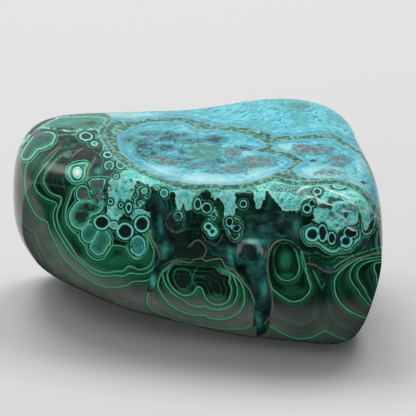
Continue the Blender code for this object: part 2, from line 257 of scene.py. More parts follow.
# Edge of the crown's blue top, and the blue cells inside it.
CROWN = (
    20, 60, 30, 110, 60, 112, 100, 112, 112, 119, 104, 132, 109, 142, 117, 153, 127, 161, 140, 168.5, 158, 176,
    176, 182, 189, 185, 207, 183.5, 225, 185, 240, 184, 254, 181.5, 266, 178, 276, 176, 290, 180, 307, 181,
    322, 180, 335, 179.5, 345, 181, 356, 185, 366, 193, 375, 204, 384, 215, 420, 215, 420, 60,
)
CROWN_CELLS = (
    (118, 138, 120.5, 133, 135, 126.5, 146, 123, 159, 121.5, 173, 121.5, 186, 123.5, 196, 128, 203, 130.5, 212, 129.5,
        225, 130.5, 240, 133, 256, 138.5, 264, 143.5, 265, 147, 256, 150.5, 264, 152.5, 277, 155.5, 292, 160, 288, 168,
        276, 173.5, 262, 178.5, 240, 184.2, 225, 185.2, 205, 184, 190, 184, 177, 181, 163, 176.5, 150, 171.5, 140, 167,
        130, 160, 121, 151),
    (273, 142.5, 290, 140, 308, 139, 330, 138.5, 342, 144.5, 355, 152, 364, 160, 372, 178, 380, 200, 378, 207, 368, 192,
        354, 184, 340, 178.5, 321, 178.5, 306, 178, 293, 171, 299, 165, 303, 161, 297, 156, 288, 153, 275, 150),
    (60, 60, 76, 113, 100, 117, 120, 120.5, 135, 121.5, 146, 119, 160, 117.5, 176, 117.5, 190, 119, 203, 122,
        215, 125.5, 240, 127, 260, 130.5, 274, 136, 288, 135.5, 310, 134.5, 332, 134, 346, 141.5, 362, 150.5, 400, 150,
        400, 60),
)
CROWN_STRETCH = 2.1  # the crown is seen this much flatter than it is

# Patches: x, y, half width, half height, kind (0 slate, 1 brown grey, 2 soft green, 3 dark olive).
PATCHES = (
    (129.5, 139.5, 3.5, 2, 0), (144.6, 145, 9, 5.5, 0), (157, 134, 11, 1.8, 0), (164, 138, 9, 3, 0),
    (176, 135, 8, 1.5, 0), (166, 147.5, 7, 3, 0), (184, 151.3, 4, 3, 0), (147.3, 153.8, 8, 2.6, 0),
    (157, 158, 9, 2, 1), (169.6, 162.5, 10, 2, 1), (194, 141, 12, 2, 0), (215, 139.5, 9, 3, 0),
    (232, 153.6, 7, 4.5, 1), (198, 165.5, 13, 2, 1), (225, 170.3, 13, 2.2, 1), (203, 151.8, 19, 9, 2),
    (257, 161.8, 16, 4.5, 1), (238, 167.5, 9, 1.8, 1), (304, 149.3, 8, 4.5, 1), (319, 150.5, 11, 4, 1),
    (338.3, 160.3, 10, 4, 1), (329.7, 172.3, 8, 1.8, 1), (213, 161, 9, 2, 0), (183, 159, 7, 1.5, 0),
    (139, 150, 3, 3, 0), (245, 148, 5, 2, 0), (297.2, 160.5, 3.2, 2, 3), (313, 160.4, 3.5, 1, 3),
    (326, 162.5, 3, 1, 3), (363, 182.6, 4, 1.2, 3), (297, 106, 13, 4, 2), (98, 184.4, 5.5, 3.8, 1),
    (84, 194.5, 4, 5, 1), (98.5, 196, 5, 4, 1), (88.7, 207.7, 11, 4.5, 3), (82.4, 216.6, 7, 6.2, 3),
    (107, 185.3, 2.6, 2.4, 3), (106, 190.2, 1.9, 1.6, 3), (106.2, 195.8, 3, 2.6, 3), (105.5, 208.4, 2, 3, 3),
    (324, 205.7, 8, 2.6, 3), (316, 222.4, 4, 2.6, 3), (351.2, 207.9, 5.5, 2.4, 1), (338.5, 241.8, 3.5, 4, 3),
    (341.5, 234, 3, 4, 3), (247, 253, 8.5, 8.5, 3), (182, 246, 7, 13, 3), (197, 249.5, 8, 8, 3),
    (372, 222, 1.6, 7, 3), (130, 241, 2, 5, 3), (204.7, 196.6, 4.2, 3.6, 3), (109, 172.3, 3.4, 1.8, 3),
    (318, 197, 4, 2, 3), (335, 200, 5, 1.6, 3), (346, 216, 3, 4, 3), (331, 215, 3, 2, 3), (67, 154, 3.8, 3.8, 2),
    (90, 113.5, 11, 1.8, 2), (62, 129, 10, 2, 3), (84, 154.5, 7, 3, 3), (92, 124, 8, 2, 3), (40, 134, 6, 3, 1),
    (176, 222, 8, 9, 3), (302, 192.5, 5, 2, 1), (214, 280, 10, 11, 3), (183.4, 279.3, 8, 8, 3),
)

# Drawn lines on the front: half width, kind (0 green, 1 pale brown, 2 white, which are painted glints of light on the
# polish), strength, points.
LINES = (
    (0.8, 1, 0.9, (149.5, 231.7, 152.5, 240, 157, 247, 159, 256.2, 158, 262)),
    (0.7, 1, 1.0, (202.8, 258.8, 205.8, 261, 212.4, 259.5, 219.7, 258.8, 222.6, 261.7, 224.8, 266.1, 229.2, 269.4,
        232.2, 269, 238, 275, 241, 279.3, 245.4, 284.5, 249.8, 290.4, 252.7, 297.7)),
    (0.7, 1, 0.7, (168, 266, 176, 260.5, 184, 261.5, 190, 263, 194, 259.5, 203, 258.5)),
    (0.7, 1, 0.6, (170, 213, 165.7, 221.5, 169, 229, 176.5, 232.2, 183, 230)),
    (0.7, 1, 0.7, (189.8, 246, 194.8, 241, 199.7, 240.6, 204.7, 245.5, 206.4, 250.5, 203.5, 257)),
    (0.7, 1, 0.5, (203, 236.4, 207, 241.5, 213, 244.7, 219, 242, 222, 236)),
    (0.8, 1, 0.7, (281.2, 240.4, 274.6, 242.9, 270.4, 248, 268, 256, 267.3, 265.3, 268, 277.8, 270.4, 286, 271.7, 294.3,
        272.8, 304, 271, 314, 265, 324)),
    (0.8, 1, 0.7, (307.8, 263.7, 314.4, 264.7, 320.2, 268.6, 326.8, 272, 332.6, 272, 337.6, 269.5, 342.6, 266,
        351.7, 259.8, 361.6, 257, 370, 254.6, 377, 254.5)),
    (0.8, 0, 0.8, (66.5, 168, 66, 174, 69, 180.5, 76, 184, 83, 182, 87.5, 177)),
    (0.8, 0, 0.7, (84.5, 168, 87, 164.5, 86, 161)),
    (2.6, 2, 0.2, (238.5, 251, 240, 245.5, 245, 241.8, 252, 241.5, 258, 244.5, 261, 251)),
    (0.9, 0, 0.55, (301, 257, 304, 268, 308, 276, 311, 283)),
    (0.8, 1, 0.6, (60, 146, 55, 150, 48, 156, 42.5, 161.6)),
    (0.9, 1, 0.9, (94.8, 158.6, 91, 166, 88.5, 171, 87, 178)),
    (0.8, 1, 0.7, (71.6, 157.5, 76.2, 152.4, 82.3, 148.6)),
    (0.9, 0, 0.8, (88.6, 189, 88.7, 193.7, 91.5, 199.3, 96.4, 204.9, 99, 203, 101, 200.5, 103.4, 202.5, 103.4, 206)),
    # The white lines that follow are painted glints of light on the polish of the right mass.
    (0.75, 2, 1.0, (315.5, 195.8, 318.5, 199.4, 324, 202.4, 328.8, 204.2, 334.2, 205.5)),
    (0.6, 2, 0.9, (302, 197.4, 307, 197, 313, 197.8)),
    (0.6, 2, 0.9, (297.9, 191, 302, 188.6, 308.2, 186.7)),
    (0.6, 2, 0.9, (343.3, 209.7, 346, 211, 350, 211.5)),
    (0.6, 2, 0.9, (350.6, 202.4, 353, 203.2, 355.5, 205)),
    (0.8, 2, 0.8, (324, 187.9, 332.4, 191.5, 341.5, 194.5, 350, 198.2)),
    (0.9, 2, 0.8, (348.2, 227.3, 350.5, 229, 353.6, 230.3)),
    (0.9, 0, 0.9, (196.5, 196, 200, 191, 205.5, 187.9, 211.3, 192.4, 214, 198)),
    (0.9, 0, 0.8, (232, 190.8, 238, 192.8, 243.7, 191.8, 250, 192.5, 255, 190)),
    (0.8, 0, 0.7, (297.3, 211, 300, 203, 303, 197, 307, 191.5, 312, 188.6)),
    (0.8, 0, 0.8, (126.6, 244.2, 129.4, 253.3, 135.7, 257.5, 142.7, 254, 147.6, 246.3, 146.9, 237.2, 151.8, 230.2)),
    (1.4, 0, 0.9, (377.4, 232, 376.4, 243, 378.5, 252)),
    (0.8, 0, 0.3, (174.2, 275, 176, 270, 182, 268.5, 188, 270.4, 192, 276, 191.6, 283, 187, 288, 180, 288.4, 175.5, 284,
        174.2, 279)),
    (0.8, 0, 0.3, (196, 286, 193, 281, 193.6, 274, 196.5, 269)),
)

# Soft green glows inside the dark malachite: x, y, half width, half height, strength.
GLOWS = (
    (285.5, 260, 7, 12, 0.85), (197, 292, 5, 8, 0.6), (216, 298, 12, 5, 0.5), (242, 292, 5, 9, 0.35),
    (293, 291, 15, 6, 0.4), (343, 285, 8, 18, 0.18), (78, 220, 9, 9, 0.4), (323, 236, 2.4, 3, 0.8),
    (332.4, 244.4, 2.6, 2.4, 0.8), (180, 225, 9, 9, 0.3), (118, 262, 24, 9, 0.55), (230, 212, 22, 16, 0.3),
    (62, 232, 8, 18, 0.3), (84, 262, 14, 8, 0.45), (287, 276, 9, 4, 0.5), (365, 285, 8, 16, 0.12),
    (212, 218, 8, 10, 0.6), (178, 210, 8, 6, 0.5), (38, 160, 12, 16, 0.25), (44, 208, 10, 12, 0.2),
    (130, 254, 14, 8, 0.5), (185, 293, 12, 5, 0.35), (335, 262, 30, 6, 0.15), (100, 275, 46, 14, 0.6),
    (60, 245, 14, 24, 0.5), (150, 262, 12, 18, 0.45), (200, 306, 40, 10, 0.3),
)

# Places where the growth lines fade: x, y, half width, half height.
QUIET = (
    (203, 262, 50, 11), (88, 146, 66, 16), (151, 210, 14, 26), (285, 246, 18, 11), (318, 222, 26, 22),
    (202, 235, 34, 26), (318, 262, 18, 12), (322, 300, 6, 28), (262, 290, 8, 40), (271, 265, 8, 26),
    (165, 240, 14, 34), (225, 205, 40, 26), (285, 225, 26, 20),
)

# Froth of tiny rings: x, y, half width, half height.
FROTH = (
    (98, 194, 13, 9), (120, 165, 17, 9), (110, 148, 9, 10), (127, 208, 14, 11), (165, 187, 18, 6), (205, 190, 22, 5),
    (246, 188, 18, 4), (285, 188, 22, 6), (318, 190, 18, 4), (100, 138, 8, 10), (80, 134, 12, 3), (212, 214, 8, 12),
    (142, 200, 8, 12), (300, 176, 18, 4), (345, 186, 22, 5),
)

# Velvety teal ground round the vugs, painted darkest where shade falls under their overhanging roofs, and the places
# where it is paler: x, y, half width, half height, strength.
VELVET = (
    (150, 214, 158, 205, 168, 209, 174, 222, 175, 240, 173, 257, 165, 263, 159, 278, 152, 291, 147, 289, 154, 268,
        157, 252, 151, 234, 148, 222),
    (204, 240, 214, 244, 226, 245, 238, 240, 244, 226, 246, 212, 258, 209, 272, 213, 286, 213, 299, 216, 304, 224,
        302, 236, 298, 247, 290, 238, 280, 237.5, 271, 243, 266, 254, 267, 272, 270, 290, 271, 306, 268, 328, 262, 335,
        256, 334, 257, 318, 254, 299, 246, 284, 238, 273, 227, 264, 219, 256.5, 211, 254),
    (97, 158, 92, 168, 88, 177, 95, 181, 108, 176, 105, 167),
    (59, 143, 68, 139, 78, 141.5, 76, 147, 66, 148),
    (361.5, 241, 366, 238.5, 371, 241, 371, 246, 366.5, 249, 362, 247),
)
VELVET_LIGHTS = (
    (165.5, 247, 6, 8, 0.7), (160, 225, 5, 12, 0.35), (231, 254, 7, 9, 0.75), (253, 241.5, 14, 4, 0.8),
    (261, 258, 5, 12, 0.5), (264, 285, 5, 14, 0.45), (259, 322, 4, 12, 0.4), (250, 270, 7, 6, 0.3),
    (153, 282, 4, 9, 0.6), (228, 226, 10, 8, 0.25), (296, 226, 5, 8, 0.5), (247, 262, 10, 3, 0.4),
    (282, 236, 8, 4, 0.3), (238, 262, 8, 6, 0.5), (259, 252, 4, 9, 0.45), (163, 256, 6, 6, 0.5),
    (98, 171, 6, 4, 0.5),
)

# Places of the crown with a painted pale sheen: x, y, half width, half height, strength.
PAINTED_SHEEN = (
    (205, 182, 60, 11, 0.7), (262, 176, 28, 10, 0.7), (322, 174, 32, 10, 0.7), (158, 171, 26, 8, 0.5),
    (352, 187, 20, 12, 0.6), (290, 148, 20, 6, 0.4), (250, 152, 26, 5, 0.4), (120, 115, 50, 5, 0.6),
    (365, 160, 12, 20, 0.4),
)

# The picture's height from which the stone's foot gets a painted grey reflection of the floor, and how strongly, each
REFLECTION_BELOW = ((10, 30, 50, 80, 110, 160, 230, 300, 350, 400), (110, 176, 228, 256, 276, 289, 300, 302, 298, 288))
REFLECTION_STRENGTH = ((20, 70, 240, 300), (0.4, 0.95, 0.95, 0.45))

# The block's finest faces lie where it faces the camera by more than FINE_FACING and upward by less than FINE_UPWARD.
FINE_FACING = 0.25
FINE_UPWARD = 0.72
FAR = 1e3  # a distance that no marking reaches, in picture units
NEAR_LOOP = 12  # how far out a place's distance to a loop is measured, in picture units


def linear(colour):
    """The linear value of an sRGB colour written as #rrggbb."""
    parts = [int(colour[place:place + 2], 16) / 255 for place in (1, 3, 5)]
    return tuple(part / 12.92 if part <= 0.04045 else ((part + 0.055) / 1.055) ** 2.4 for part in parts)


def colour_setting(name, description, default):
    return bpy.props.FloatVectorProperty(
        name=name, description=description, default=linear(default), size=3, min=0, max=1, subtype="COLOR"
    )


class StoneSettings(bpy.types.PropertyGroup):
    face_size: bpy.props.FloatProperty(
        name="Face size", description="Side of the faces that the block starts from", default=1.15 * MM,
        min=0.5 * MM, max=4 * MM, subtype="DISTANCE", unit="LENGTH", precision=5,
    )
    roughness: bpy.props.FloatProperty(
        name="Polish", description="Roughness of the polished stone", default=0.11, min=0.0, max=1.0, subtype="FACTOR"
    )
    malachite: colour_setting("Malachite", "The dark body of the malachite", "#08211b")
    growth_line: colour_setting("Growth line", "The light lines of the malachite", "#66c293")
    chrysocolla: colour_setting("Chrysocolla", "The turquoise of the masses on the front", "#60d6d4")
    crown: colour_setting("Crown", "The sky blue of the top", "#6accd9")


class StageSettings(bpy.types.PropertyGroup):
    floor: colour_setting("Floor", "The pale studio floor", "#c9c9c9")
    floor_size: bpy.props.FloatProperty(
        name="Floor size", description="Side of the floor", default=6.0, min=1.0, max=20.0,
        subtype="DISTANCE", unit="LENGTH",
    )
    key_power: bpy.props.FloatProperty(
        name="Key light", description="Power of the two soft lights above and behind", default=24.0,
        min=0.0, max=100.0, unit="POWER",
    )
    fill_power: bpy.props.FloatProperty(
        name="Fill light", description="Power of the low soft light in front", default=6.2,
        min=0.0, max=100.0, unit="POWER",
    )
    sky: bpy.props.FloatProperty(
        name="Sky", description="Strength of the light from all round", default=0.5, min=0.0, max=5.0
    )


# Shape


def unit(vector):
    vector = np.asarray(vector, dtype=float)
    return vector / np.linalg.norm(vector, axis=-1, keepdims=True)


def ease(value):
    value = np.clip(value, 0, 1)
    return value * value * (3 - 2 * value)


def over_facets(points):
    normals = np.array([unit(direction) for direction, _, _ in FACETS.values()])
    distances = np.array([distance for _, distance, _ in FACETS.values()])
    tightness = np.array([value for _, _, value in FACETS.values()])
    above = ((points - np.array(CENTRE)) @ normals.T - distances) * tightness
    highest = above.max(axis=1)
    return highest + np.log(np.exp(above - highest[:, None]).sum(axis=1))


def facet_radius(directions):
    near = np.zeros(len(directions))
    far = np.full(len(directions), REACH)
    for _ in range(HALVINGS):
        middle = (near + far) / 2
        inside = over_facets(np.array(CENTRE) + directions * middle[:, None]) < 0
        near = np.where(inside, middle, near)
        far = np.where(inside, far, middle)
    return near


def relief(points):
    height = np.zeros(len(points))
    for centre, rise, spread in SWELLS.values():
        gap = ((points - np.array(centre)) ** 2).sum(axis=1)
        height += rise * np.exp(-gap / (2 * spread**2))
    for direction, length, rise, phase in WAVES:
        height += rise * np.sin(2 * np.pi * (points @ unit(direction)) / length + phase)
    return height


def chain_depth(points, chain):
    chain = np.array(chain)
    deepest = np.full(len(points), -REACH)
    for start, end in zip(chain[:-1], chain[1:]):
        run = end[:3] - start[:3]
        share = np.clip((points - start[:3]) @ run / (run @ run), 0, 1)
        nearest = start[:3] + run * share[:, None]
        radius = start[3] + (end[3] - start[3]) * share
        deepest = np.maximum(deepest, radius - np.linalg.norm(points - nearest, axis=1))
    return deepest


def hollow(points):
    """Depth of the vugs below the polished surface, in mm."""
    depth = np.zeros(len(points))
    for floor, wall, chain in VUGS.values():
        depth = np.maximum(depth, floor * ease(chain_depth(points, chain) / wall))
    for centre, radius, rise in LUMPS.values():
        gap = np.linalg.norm(points - np.array(centre), axis=1) / radius
        depth = np.maximum(depth - rise * np.clip(1 - gap**2, 0, 1), 0)
    return depth


def stone_surface(directions):
    """Points of the stone along directions from CENTRE, in mm, and the depth of the hollow at each."""
    radius = facet_radius(directions)
    radius += relief(np.array(CENTRE) + directions * radius[:, None])
    depth = hollow(np.array(CENTRE) + directions * radius[:, None])
    points = np.array(CENTRE) + directions * (radius - depth)[:, None]
    points[:, 2] = np.maximum(points[:, 2], 0.0)
    return points, depth


def read_points(mesh):
    values = np.zeros(len(mesh.vertices) * 3)
    mesh.vertices.foreach_get("co", values)
    return values.reshape(-1, 3) / MM


def settle(mesh):
    """Moves every vertex along its direction from CENTRE onto the stone; returns the hollows' depth."""
    points, depth = stone_surface(unit(read_points(mesh) - np.array(CENTRE)))
    mesh.vertices.foreach_set("co", (points * MM).ravel())
    mesh.update()
    return depth


def halve(chosen_edges=None, chosen_faces=None, cuts=1):
    """Subdivides the chosen edges or faces of the active object."""
    mesh = bpy.context.object.data
    bpy.ops.object.mode_set(mode="EDIT")
    bpy.ops.mesh.select_mode(type="EDGE" if chosen_faces is None else "FACE")
    bpy.ops.mesh.select_all(action="DESELECT")
    bpy.ops.object.mode_set(mode="OBJECT")
    if chosen_faces is None:
        mesh.edges.foreach_set("select", chosen_edges)
    else:
        mesh.polygons.foreach_set("select", chosen_faces)
    bpy.ops.object.mode_set(mode="EDIT")
    bpy.ops.mesh.subdivide(number_cuts=cuts, ngon=False)
    bpy.ops.object.mode_set(mode="OBJECT")


def edges_along(mesh, axis):
    points = read_points(mesh)
    ends = np.zeros(len(mesh.edges) * 2, dtype=int)
    mesh.edges.foreach_get("vertices", ends)
    run = np.abs(points[ends[0::2]] - points[ends[1::2]])
    return run[:, axis] > 0.9 * run.sum(axis=1)


def look_direction():
    """The way the camera looks, and the picture's upward direction."""
    tilt = math.radians(TILT)
    return np.array([0, math.cos(tilt), -math.sin(tilt)]), np.array([0, math.sin(tilt), math.cos(tilt)])


def normals_of(items):
    """Normals of a mesh's vertices or faces."""
    normals = np.zeros(len(items) * 3)
    items.foreach_get("normal", normals)
    return normals.reshape(-1, 3)


def carve_block(low, high, face_size):
    """A fine block of the stone's size whose vertices lie on the stone. Its front has the finest faces."""
    bpy.ops.object.select_all(action="DESELECT")
    centre = (low + high) / 2
    bpy.ops.mesh.primitive_cube_add(size=1, location=centre, scale=high - low)
    bpy.ops.object.transform_apply(location=True, rotation=False, scale=True)
    block = bpy.context.object
    for axis in range(3):
        cuts = round((high[axis] - low[axis]) / face_size) - 1
        halve(chosen_edges=edges_along(block.data, axis), cuts=cuts)
    settle(block.data)
    halve(chosen_faces=np.ones(len(block.data.polygons), dtype=bool))
    settle(block.data)
    forward, _ = look_direction()
    normals = normals_of(block.data.polygons)
    halve(chosen_faces=(normals @ -forward > FINE_FACING) & (normals[:, 2] < FINE_UPWARD))
    return block


# Markings


def curve(points, closed, parts=5):
    """A smooth line through a row of x, y, x, y and so on."""
    points = np.reshape(np.array(points, dtype=float), (-1, 2))
    if closed:
        padded = np.vstack([points[-1:], points, points[:2]])
    else:
        padded = np.vstack([2 * points[:1] - points[1:2], points, 2 * points[-1:] - points[-2:-1]])
    share = np.linspace(0, 1, parts, endpoint=False)[:, None]
    drawn = []
    for before, start, end, after in zip(padded[:-3], padded[1:-2], padded[2:-1], padded[3:]):
        drawn.append(0.5 * (
            2 * start + (end - before) * share + (2 * before - 5 * start + 4 * end - after) * share**2
            + (3 * start - 3 * end + after - before) * share**3
        ))
    drawn.append(points[:1] if closed else points[-1:])
    return np.vstack(drawn)


def to_line(places, line):
    """Distance from each place to a line, and the side of it that the place lies on."""
    best = np.full(len(places), np.inf)
    side = np.ones(len(places))
    for start, end in zip(line[:-1], line[1:]):
        run = end - start
        from_start = places - start
        share = np.clip(from_start @ run / max(run @ run, 1e-9), 0, 1)
        gap = from_start - share[:, None] * run
        distance = (gap**2).sum(axis=1)
        closer = distance < best
        best = np.where(closer, distance, best)
        side = np.where(closer, np.where(run[0] * gap[:, 1] > run[1] * gap[:, 0], 1.0, -1.0), side)
    return np.sqrt(best), side


def within(places, loop):
    inside = np.zeros(len(places), dtype=bool)
    x, y = places[:, 0], places[:, 1]
    for start, end in zip(loop[:-1], loop[1:]):
        if start[1] == end[1]:
            continue
        spans = (start[1] > y) != (end[1] > y)
        inside ^= spans & (x < start[0] + (y - start[1]) * (end[0] - start[0]) / (end[1] - start[1]))
    return inside


def loop_depth(places, points, margin=None, stretch=1.0):
    """Distance inside a closed smooth loop; below zero outside it. With a margin, it isn't measured farther out."""
    scale = np.array([1.0, stretch])
    loop = curve(points, closed=True) * scale
    places = places * scale
    depth = np.full(len(places), -FAR)
    near = np.ones(len(places), dtype=bool)
    if margin is not None:
        near = ((places > loop.min(0) - margin) & (places < loop.max(0) + margin)).all(axis=1)
    distance, _ = to_line(places[near], loop)
    depth[near] = np.where(within(places[near], loop), distance, -distance)
    return depth


def ovals(places, shapes):
    """Soft cover of a list of ovals."""
    cover = np.zeros(len(places))
    for x, y, wide, high, *strength in shapes:
        reach = ease(1.2 - np.hypot((places[:, 0] - x) / wide, (places[:, 1] - y) / high))
        cover = np.maximum(cover, (strength[0] if strength else 1) * reach)
    return cover


def nodule_growth(places, outer, inner, lines):
    """Growth phase, which is a whole number on each line, the local spacing, and the nearest line's brightness."""
    depths = [loop_depth(places, points) for _, points in lines]
    phase = depths[0] / outer
    spacing = np.full(len(places), outer)
    shine = np.where(phase > -0.5, lines[0][0], np.where(np.round(phase) % 2 == 0, 0.35, 0.12))
    for rank, (here, after) in enumerate(zip(depths, depths[1:] + [None])):
        if after is None:
            width = np.full(len(places), inner)
            following = 0.0
        else:
            width = np.maximum(here - after, 0.5)
            following = lines[rank + 1][0]
        part = here / width
        chosen = here > 0
        phase = np.where(chosen, rank + part, phase)
        spacing = np.where(chosen, width, spacing)
        shine = np.where(chosen, np.where(part < 0.5, lines[rank][0], following), shine)
    return phase, spacing, shine


# How far a surface faces the camera where the front's markings reach full strength, and where its growth lines give
# way to those of the far sides, with the width of that join.
FULLY_SEEN = 0.22
GROWTH_JOIN = 0.07
JOIN_WIDTH = 0.035

# Nodules all round, for the sides that the picture doesn't show: seed (x, y, z) and radius of its first line in mm, and
# the mean distance between growth lines in mm.
SEEDS = (
    ((-30.0, 12.0, 16.0), 11.0, 2.3), ((-14.0, 22.0, 8.0), 12.0, 2.6), ((3.0, 22.0, 17.0), 9.0, 2.0),
    ((20.0, 22.0, 9.0), 13.0, 2.8), ((33.0, 14.0, 14.0), 9.0, 2.1), ((36.0, -6.0, 10.0), 11.0, 2.4),
    ((36.0, -12.0, 27.0), 8.0, 1.9), ((-36.0, -2.0, 24.0), 9.0, 2.0), ((0.0, 0.0, -4.0), 13.0, 3.0),
    ((22.0, 2.0, -3.0), 12.0, 2.7), ((-18.0, 4.0, 2.0), 11.0, 2.5), ((26.0, 21.0, 27.0), 8.0, 1.8),
    ((-20.0, 20.0, 30.0), 8.0, 2.0),
)


def seeded_growth(points):
    """The same three values from the seeds, with lengths in picture units."""
    phase = np.full(len(points), -FAR)
    spacing = np.zeros(len(points))
    x, y, z = points.T
    swayed = points + np.column_stack([
        1.3 * np.sin(0.31 * z + 0.17 * y + 0.5) + 0.20 * np.sin(0.83 * z - 0.4 * x),
        1.1 * np.sin(0.27 * x + 0.22 * z + 0.4) + 0.18 * np.sin(0.77 * x + 2.0),
        1.3 * np.sin(0.36 * x - 0.21 * y + 1.1) + 0.20 * np.sin(0.91 * x + 0.5 * y),
    ])
    for seed, radius, pitch in SEEDS:
        distance = np.linalg.norm(swayed - np.array(seed), axis=1)
        value = (radius - distance) / pitch
        value = value + 0.3 * np.sin(1.9 * value + seed[0])
        chosen = value > phase
        phase = np.where(chosen, value, phase)
        spacing = np.where(chosen, pitch / UNIT_SIZE, spacing)
    rank = np.round(phase)
    shine = 0.45 + 0.55 * np.abs(np.sin(rank * 2.4 + 0.6))
    return phase, spacing, shine


# Ring eyes on the sides that the picture doesn't show: x, y, z and radius in mm, width of the rim in mm, filling.
FAR_EYES = (
    (-22.0, 21.0, 27.0, 1.5, 0.4, 0.0), (-18.5, 21.5, 28.5, 1.1, 0.35, 0.0), (-25.0, 20.0, 29.0, 1.0, 0.3, 0.5),
    (-3.0, 22.0, 28.0, 1.7, 0.5, 0.0), (0.5, 22.0, 26.0, 1.2, 0.4, 0.0), (4.0, 22.5, 29.5, 0.9, 0.3, 0.2),
    (16.0, 22.5, 27.5, 1.4, 0.5, 0.0), (19.5, 22.5, 25.5, 1.7, 0.5, 0.1), (28.0, 20.5, 24.5, 1.2, 0.4, 0.0),
    (35.0, -4.0, 30.0, 1.4, 0.4, 0.0), (35.5, 0.5, 31.0, 1.0, 0.3, 0.3), (34.8, 11.0, 28.0, 1.5, 0.45, 0.0),
    (-36.0, 6.0, 29.0, 1.3, 0.4, 0.0), (-35.0, 11.0, 27.0, 1.7, 0.5, 0.1), (-36.0, 2.0, 32.0, 1.0, 0.3, 0.0),
    (8.0, 22.0, 14.0, 2.2, 0.4, 0.4), (12.0, 21.5, 11.0, 1.6, 0.4, 0.0), (-27.0, 18.0, 13.0, 1.9, 0.4, 0.2),
)
# Patches on those sides: x, y, z and radius in mm, kind.
FAR_PATCHES = (
    (-10.0, 14.0, 37.0, 3.0, 0), (2.0, 16.0, 37.0, 4.0, 1), (14.0, 17.0, 38.0, 3.5, 2), (26.0, 12.0, 36.0, 3.0, 1),
    (-22.0, 14.0, 34.0, 3.0, 2), (33.0, 6.0, 33.0, 2.2, 0), (8.0, 21.0, 32.0, 2.0, 0), (-4.0, 20.5, 33.0, 2.4, 1),
)


def far_crown(points):
    """How far above the ragged lower edge of the blue a point on the far sides lies, in picture units."""
    around = np.arctan2(points[:, 1] - 3, points[:, 0])
    edge = 29.5 + 1.6 * np.sin(5 * around + 0.4) + 1.3 * np.sin(11 * around + 1.7) + 0.9 * np.sin(23 * around)
    return (points[:, 2] - edge) / UNIT_SIZE


# Seeds of the blue cells on the far sides, in mm.
FAR_CELLS = (
    (-28, 14, 33), (-14, 20, 35), (0, 22, 34), (14, 22, 34), (27, 20, 32), (34, 6, 32), (35, -8, 33), (-35, 2, 31),
    (20, 14, 40), (4, 12, 40), (-12, 12, 38), (32, 12, 37), (-24, 6, 38),
)


def far_cells(points):
    """Distance inside the blue cells of the far sides: walls run where two cell seeds are equally near."""
    x, y, z = points.T
    swayed = points + 1.1 * np.column_stack([np.sin(z * 0.9 + 0.5 * y), np.sin(x * 0.7), np.sin(x * 0.55 + 1)])
    gaps = np.sort(np.linalg.norm(swayed[:, None, :] - np.array(FAR_CELLS, dtype=float), axis=2), axis=1)
    return (gaps[:, 1] - gaps[:, 0]) / 2 / UNIT_SIZE - 1.5


def deepest_of(measures):
    """The largest depth at each place, with the other values of the shape that gave it."""
    best = np.array(measures[0][0], dtype=float)
    others = [np.full(len(best), float(value)) for value in measures[0][1:]]
    for depth, *values in measures[1:]:
        chosen = depth > best
        best = np.where(chosen, depth, best)
        others = [np.where(chosen, float(value), other) for value, other in zip(values, others)]
    return [best] + others


def oval_depth(places, x, y, wide, high):
    size = np.sqrt(((places[:, 0] - x) / wide) ** 2 + ((places[:, 1] - y) / high) ** 2)
    return (1 - size) * min(wide, high)


def picture_places(points):
    """Where points in mm stand in the picture."""
    forward, upward = look_direction()
    away = points - np.array(AIM)
    depth = DISTANCE + away @ forward
    scale = DISTANCE / depth / UNIT_SIZE
    return np.column_stack([PICTURE / 2 + away[:, 0] * scale, PICTURE / 2 - away @ upward * scale])


